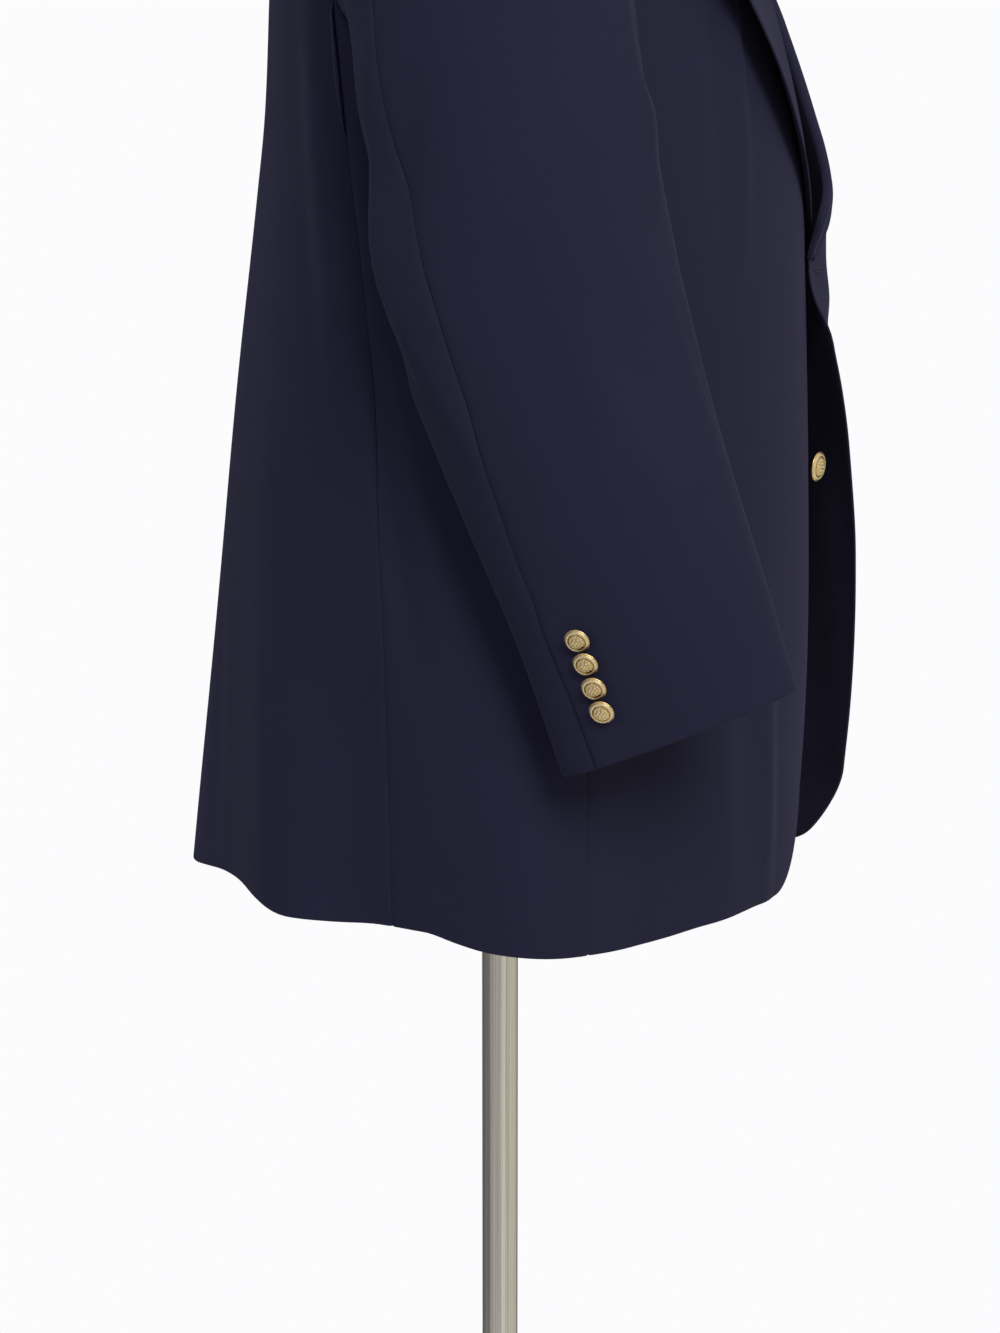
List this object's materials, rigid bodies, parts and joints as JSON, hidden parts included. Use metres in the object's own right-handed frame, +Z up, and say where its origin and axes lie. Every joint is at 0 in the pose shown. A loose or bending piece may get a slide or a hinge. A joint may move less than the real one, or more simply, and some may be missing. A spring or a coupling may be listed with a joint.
{
  "type": "blazer on a limbless dress form",
  "caption": "Single-breasted blazer with notched lapels, flap pockets and metal shank buttons, worn by a limbless dress form on a pole with a round base.",
  "frame": {"origin": "on the floor, on the pole's axis, at the middle of the base's underside", "axes": "+Z up; the garment faces -Y; -X is the wearer's right"},
  "size_m": [0.5768, 0.451, 1.5723],
  "materials": {
    "wool": "matt, fine worsted wool",
    "gilt": "polished, embossed",
    "linen": "matt linen cover",
    "steel": "satin"
  },
  "bodies": {
    "root": {"back_left": "wool", "back_right": "wool", "base": "steel", "collar": "wool", "cuff_button_left_1": "gilt", "cuff_button_left_2": "gilt", "cuff_button_left_3": "gilt", "cuff_button_left_4": "gilt", "cuff_button_right_1": "gilt", "cuff_button_right_2": "gilt", "cuff_button_right_3": "gilt", "cuff_button_right_4": "gilt", "flap_left": "wool", "flap_right": "wool", "form_torso": "linen", "front_button_lower": "gilt", "front_button_top": "gilt", "front_left": "wool", "front_right": "wool", "hub": "steel", "lapel_left": "wool", "lapel_right": "wool", "neck_cap": "steel", "pole": "steel", "side_left": "wool", "side_right": "wool", "sleeve_under_left": "wool", "sleeve_under_right": "wool", "sleeve_upper_left": "wool", "sleeve_upper_right": "wool"}
  },
  "joints": []
}
